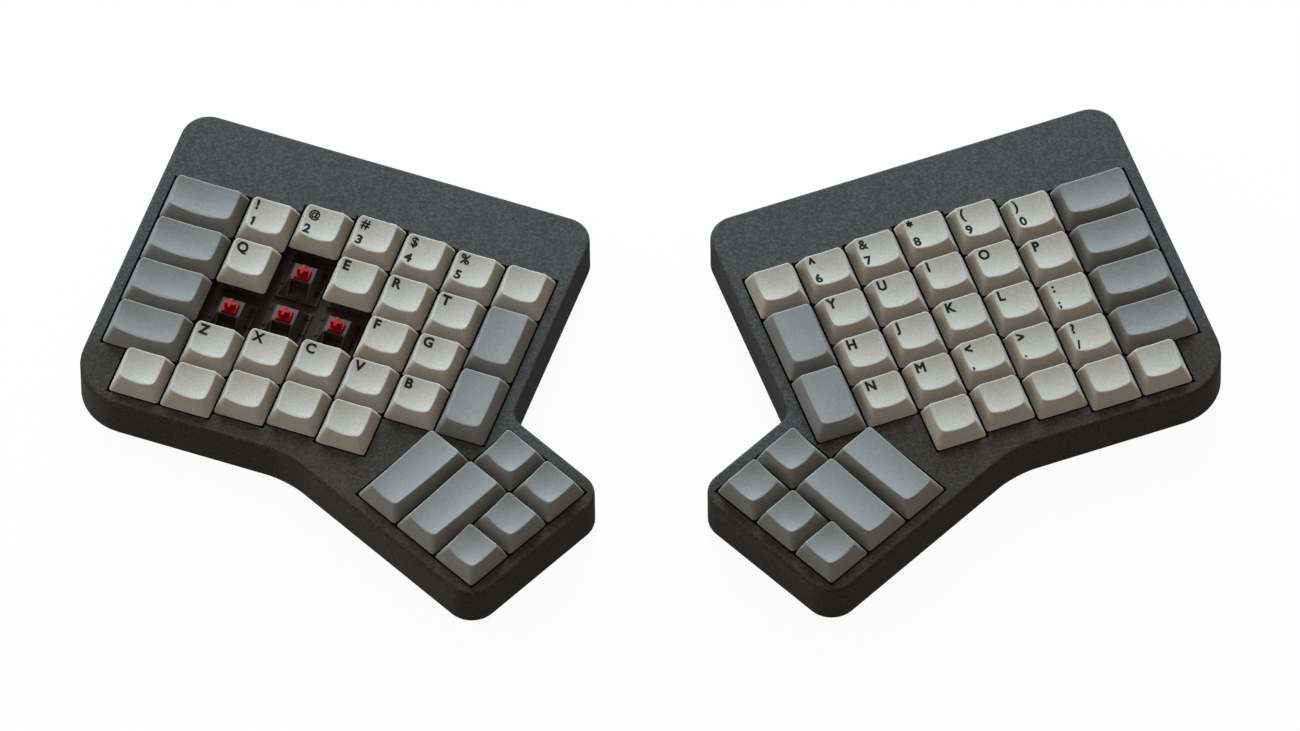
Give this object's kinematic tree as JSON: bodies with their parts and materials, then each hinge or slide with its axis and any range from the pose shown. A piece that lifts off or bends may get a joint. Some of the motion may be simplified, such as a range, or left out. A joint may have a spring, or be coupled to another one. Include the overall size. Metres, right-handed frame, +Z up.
{
  "type": "ergonomic split keyboard",
  "caption": "Two mirrored keyboard halves, each a low dark case with staggered columns of sprung keys and a turned thumb cluster, standing apart on rubber feet.",
  "frame": {"origin": "on the desk under the rubber feet, midway between the two halves and at the middle of their depth", "axes": "+X to the typist's right along the pair, +Y away from the typist, +Z up"},
  "size_m": [0.4016, 0.2086, 0.0249],
  "materials": {
    "case_plastic": "dark slate, finely grained moulded plastic",
    "light_caps": "light beige-grey keycap plastic, fine matt texture",
    "grey_caps": "blue-grey keycap plastic, fine matt texture",
    "red_stems": "red slider plastic, satin",
    "switch_plastic": "dark moulded plastic",
    "plate_steel": "black coated sheet",
    "circuit_board": "green solder mask",
    "screw_steel": "zinc-plated steel",
    "foot_rubber": "black rubber"
  },
  "bodies": {
    "left_half": {"left_bottom_case": "case_plastic", "left_top_case": "case_plastic", "left_switch_plate": "plate_steel", "left_circuit_board": "circuit_board", "left_switch_housings": "switch_plastic", "left_case_screws": "screw_steel", "left_rubber_feet": "foot_rubber", "left_link_jack": "switch_plastic"},
    "left_number_keys": {"left_number_keys": "light_caps"},
    "left_outer_keys": {"left_outer_keys": "grey_caps"},
    "left_bottom_keys": {"left_bottom_keys": "light_caps"},
    "left_inner_keys": {"left_inner_keys": "grey_caps"},
    "left_thumb_tall_keys": {"left_thumb_tall_keys": "grey_caps"},
    "left_thumb_small_keys": {"left_thumb_small_keys": "grey_caps"},
    "left_key_q": {"left_key_q": "light_caps"},
    "left_stem_w": {"left_stem_w": "red_stems"},
    "left_key_e": {"left_key_e": "light_caps"},
    "left_key_r": {"left_key_r": "light_caps"},
    "left_key_t": {"left_key_t": "light_caps"},
    "left_stem_a": {"left_stem_a": "red_stems"},
    "left_stem_s": {"left_stem_s": "red_stems"},
    "left_stem_d": {"left_stem_d": "red_stems"},
    "left_key_f": {"left_key_f": "light_caps"},
    "left_key_g": {"left_key_g": "light_caps"},
    "left_key_z": {"left_key_z": "light_caps"},
    "left_key_x": {"left_key_x": "light_caps"},
    "left_key_c": {"left_key_c": "light_caps"},
    "left_key_v": {"left_key_v": "light_caps"},
    "left_key_b": {"left_key_b": "light_caps"},
    "right_half": {"right_bottom_case": "case_plastic", "right_top_case": "case_plastic", "right_switch_plate": "plate_steel", "right_circuit_board": "circuit_board", "right_switch_housings": "switch_plastic", "right_case_screws": "screw_steel", "right_rubber_feet": "foot_rubber", "right_link_jack": "switch_plastic", "right_controller_board": "circuit_board", "right_usb_socket": "screw_steel"},
    "right_number_keys": {"right_number_keys": "light_caps"},
    "right_outer_keys": {"right_outer_keys": "grey_caps"},
    "right_bottom_keys": {"right_bottom_keys": "light_caps"},
    "right_inner_keys": {"right_inner_keys": "grey_caps"},
    "right_thumb_tall_keys": {"right_thumb_tall_keys": "grey_caps"},
    "right_thumb_small_keys": {"right_thumb_small_keys": "grey_caps"},
    "right_key_p": {"right_key_p": "light_caps"},
    "right_key_o": {"right_key_o": "light_caps"},
    "right_key_i": {"right_key_i": "light_caps"},
    "right_key_u": {"right_key_u": "light_caps"},
    "right_key_y": {"right_key_y": "light_caps"},
    "right_key_semicolon": {"right_key_semicolon": "light_caps"},
    "right_key_l": {"right_key_l": "light_caps"},
    "right_key_k": {"right_key_k": "light_caps"},
    "right_key_j": {"right_key_j": "light_caps"},
    "right_key_h": {"right_key_h": "light_caps"},
    "right_key_slash": {"right_key_slash": "light_caps"},
    "right_key_period": {"right_key_period": "light_caps"},
    "right_key_comma": {"right_key_comma": "light_caps"},
    "right_key_m": {"right_key_m": "light_caps"},
    "right_key_n": {"right_key_n": "light_caps"}
  },
  "joints": [
    {"name": "halves_spread", "type": "slide", "parent": "left_half", "child": "right_half", "axis": [1, 0, 0], "range_m": [-0.03, 0.15]},
    {"name": "left_number_keys_press", "type": "slide", "parent": "left_half", "child": "left_number_keys", "axis": [0, 0, -1], "range_m": [0, 0.004], "stiffness_N_per_m": 372, "springref_m": -0.0056},
    {"name": "left_outer_keys_press", "type": "slide", "parent": "left_half", "child": "left_outer_keys", "axis": [0, 0, -1], "range_m": [0, 0.004], "stiffness_N_per_m": 248, "springref_m": -0.0056},
    {"name": "left_bottom_keys_press", "type": "slide", "parent": "left_half", "child": "left_bottom_keys", "axis": [0, 0, -1], "range_m": [0, 0.004], "stiffness_N_per_m": 310, "springref_m": -0.0056},
    {"name": "left_inner_keys_press", "type": "slide", "parent": "left_half", "child": "left_inner_keys", "axis": [0, 0, -1], "range_m": [0, 0.004], "stiffness_N_per_m": 124, "springref_m": -0.0056},
    {"name": "left_thumb_tall_keys_press", "type": "slide", "parent": "left_half", "child": "left_thumb_tall_keys", "axis": [0, 0, -1], "range_m": [0, 0.004], "stiffness_N_per_m": 124, "springref_m": -0.0056},
    {"name": "left_thumb_small_keys_press", "type": "slide", "parent": "left_half", "child": "left_thumb_small_keys", "axis": [0, 0, -1], "range_m": [0, 0.004], "stiffness_N_per_m": 248, "springref_m": -0.0056},
    {"name": "left_key_q_press", "type": "slide", "parent": "left_half", "child": "left_key_q", "axis": [0, 0, -1], "range_m": [0, 0.004], "stiffness_N_per_m": 62, "springref_m": -0.0056},
    {"name": "left_stem_w_press", "type": "slide", "parent": "left_half", "child": "left_stem_w", "axis": [0, 0, -1], "range_m": [0, 0.004], "stiffness_N_per_m": 62, "springref_m": -0.0056},
    {"name": "left_key_e_press", "type": "slide", "parent": "left_half", "child": "left_key_e", "axis": [0, 0, -1], "range_m": [0, 0.004], "stiffness_N_per_m": 62, "springref_m": -0.0056},
    {"name": "left_key_r_press", "type": "slide", "parent": "left_half", "child": "left_key_r", "axis": [0, 0, -1], "range_m": [0, 0.004], "stiffness_N_per_m": 62, "springref_m": -0.0056},
    {"name": "left_key_t_press", "type": "slide", "parent": "left_half", "child": "left_key_t", "axis": [0, 0, -1], "range_m": [0, 0.004], "stiffness_N_per_m": 62, "springref_m": -0.0056},
    {"name": "left_stem_a_press", "type": "slide", "parent": "left_half", "child": "left_stem_a", "axis": [0, 0, -1], "range_m": [0, 0.004], "stiffness_N_per_m": 62, "springref_m": -0.0056},
    {"name": "left_stem_s_press", "type": "slide", "parent": "left_half", "child": "left_stem_s", "axis": [0, 0, -1], "range_m": [0, 0.004], "stiffness_N_per_m": 62, "springref_m": -0.0056},
    {"name": "left_stem_d_press", "type": "slide", "parent": "left_half", "child": "left_stem_d", "axis": [0, 0, -1], "range_m": [0, 0.004], "stiffness_N_per_m": 62, "springref_m": -0.0056},
    {"name": "left_key_f_press", "type": "slide", "parent": "left_half", "child": "left_key_f", "axis": [0, 0, -1], "range_m": [0, 0.004], "stiffness_N_per_m": 62, "springref_m": -0.0056},
    {"name": "left_key_g_press", "type": "slide", "parent": "left_half", "child": "left_key_g", "axis": [0, 0, -1], "range_m": [0, 0.004], "stiffness_N_per_m": 62, "springref_m": -0.0056},
    {"name": "left_key_z_press", "type": "slide", "parent": "left_half", "child": "left_key_z", "axis": [0, 0, -1], "range_m": [0, 0.004], "stiffness_N_per_m": 62, "springref_m": -0.0056},
    {"name": "left_key_x_press", "type": "slide", "parent": "left_half", "child": "left_key_x", "axis": [0, 0, -1], "range_m": [0, 0.004], "stiffness_N_per_m": 62, "springref_m": -0.0056},
    {"name": "left_key_c_press", "type": "slide", "parent": "left_half", "child": "left_key_c", "axis": [0, 0, -1], "range_m": [0, 0.004], "stiffness_N_per_m": 62, "springref_m": -0.0056},
    {"name": "left_key_v_press", "type": "slide", "parent": "left_half", "child": "left_key_v", "axis": [0, 0, -1], "range_m": [0, 0.004], "stiffness_N_per_m": 62, "springref_m": -0.0056},
    {"name": "left_key_b_press", "type": "slide", "parent": "left_half", "child": "left_key_b", "axis": [0, 0, -1], "range_m": [0, 0.004], "stiffness_N_per_m": 62, "springref_m": -0.0056},
    {"name": "right_number_keys_press", "type": "slide", "parent": "right_half", "child": "right_number_keys", "axis": [0, 0, -1], "range_m": [0, 0.004], "stiffness_N_per_m": 372, "springref_m": -0.0056},
    {"name": "right_outer_keys_press", "type": "slide", "parent": "right_half", "child": "right_outer_keys", "axis": [0, 0, -1], "range_m": [0, 0.004], "stiffness_N_per_m": 248, "springref_m": -0.0056},
    {"name": "right_bottom_keys_press", "type": "slide", "parent": "right_half", "child": "right_bottom_keys", "axis": [0, 0, -1], "range_m": [0, 0.004], "stiffness_N_per_m": 310, "springref_m": -0.0056},
    {"name": "right_inner_keys_press", "type": "slide", "parent": "right_half", "child": "right_inner_keys", "axis": [0, 0, -1], "range_m": [0, 0.004], "stiffness_N_per_m": 124, "springref_m": -0.0056},
    {"name": "right_thumb_tall_keys_press", "type": "slide", "parent": "right_half", "child": "right_thumb_tall_keys", "axis": [0, 0, -1], "range_m": [0, 0.004], "stiffness_N_per_m": 124, "springref_m": -0.0056},
    {"name": "right_thumb_small_keys_press", "type": "slide", "parent": "right_half", "child": "right_thumb_small_keys", "axis": [0, 0, -1], "range_m": [0, 0.004], "stiffness_N_per_m": 248, "springref_m": -0.0056},
    {"name": "right_key_p_press", "type": "slide", "parent": "right_half", "child": "right_key_p", "axis": [0, 0, -1], "range_m": [0, 0.004], "stiffness_N_per_m": 62, "springref_m": -0.0056},
    {"name": "right_key_o_press", "type": "slide", "parent": "right_half", "child": "right_key_o", "axis": [0, 0, -1], "range_m": [0, 0.004], "stiffness_N_per_m": 62, "springref_m": -0.0056},
    {"name": "right_key_i_press", "type": "slide", "parent": "right_half", "child": "right_key_i", "axis": [0, 0, -1], "range_m": [0, 0.004], "stiffness_N_per_m": 62, "springref_m": -0.0056},
    {"name": "right_key_u_press", "type": "slide", "parent": "right_half", "child": "right_key_u", "axis": [0, 0, -1], "range_m": [0, 0.004], "stiffness_N_per_m": 62, "springref_m": -0.0056},
    {"name": "right_key_y_press", "type": "slide", "parent": "right_half", "child": "right_key_y", "axis": [0, 0, -1], "range_m": [0, 0.004], "stiffness_N_per_m": 62, "springref_m": -0.0056},
    {"name": "right_key_semicolon_press", "type": "slide", "parent": "right_half", "child": "right_key_semicolon", "axis": [0, 0, -1], "range_m": [0, 0.004], "stiffness_N_per_m": 62, "springref_m": -0.0056},
    {"name": "right_key_l_press", "type": "slide", "parent": "right_half", "child": "right_key_l", "axis": [0, 0, -1], "range_m": [0, 0.004], "stiffness_N_per_m": 62, "springref_m": -0.0056},
    {"name": "right_key_k_press", "type": "slide", "parent": "right_half", "child": "right_key_k", "axis": [0, 0, -1], "range_m": [0, 0.004], "stiffness_N_per_m": 62, "springref_m": -0.0056},
    {"name": "right_key_j_press", "type": "slide", "parent": "right_half", "child": "right_key_j", "axis": [0, 0, -1], "range_m": [0, 0.004], "stiffness_N_per_m": 62, "springref_m": -0.0056},
    {"name": "right_key_h_press", "type": "slide", "parent": "right_half", "child": "right_key_h", "axis": [0, 0, -1], "range_m": [0, 0.004], "stiffness_N_per_m": 62, "springref_m": -0.0056},
    {"name": "right_key_slash_press", "type": "slide", "parent": "right_half", "child": "right_key_slash", "axis": [0, 0, -1], "range_m": [0, 0.004], "stiffness_N_per_m": 62, "springref_m": -0.0056},
    {"name": "right_key_period_press", "type": "slide", "parent": "right_half", "child": "right_key_period", "axis": [0, 0, -1], "range_m": [0, 0.004], "stiffness_N_per_m": 62, "springref_m": -0.0056},
    {"name": "right_key_comma_press", "type": "slide", "parent": "right_half", "child": "right_key_comma", "axis": [0, 0, -1], "range_m": [0, 0.004], "stiffness_N_per_m": 62, "springref_m": -0.0056},
    {"name": "right_key_m_press", "type": "slide", "parent": "right_half", "child": "right_key_m", "axis": [0, 0, -1], "range_m": [0, 0.004], "stiffness_N_per_m": 62, "springref_m": -0.0056},
    {"name": "right_key_n_press", "type": "slide", "parent": "right_half", "child": "right_key_n", "axis": [0, 0, -1], "range_m": [0, 0.004], "stiffness_N_per_m": 62, "springref_m": -0.0056}
  ]
}
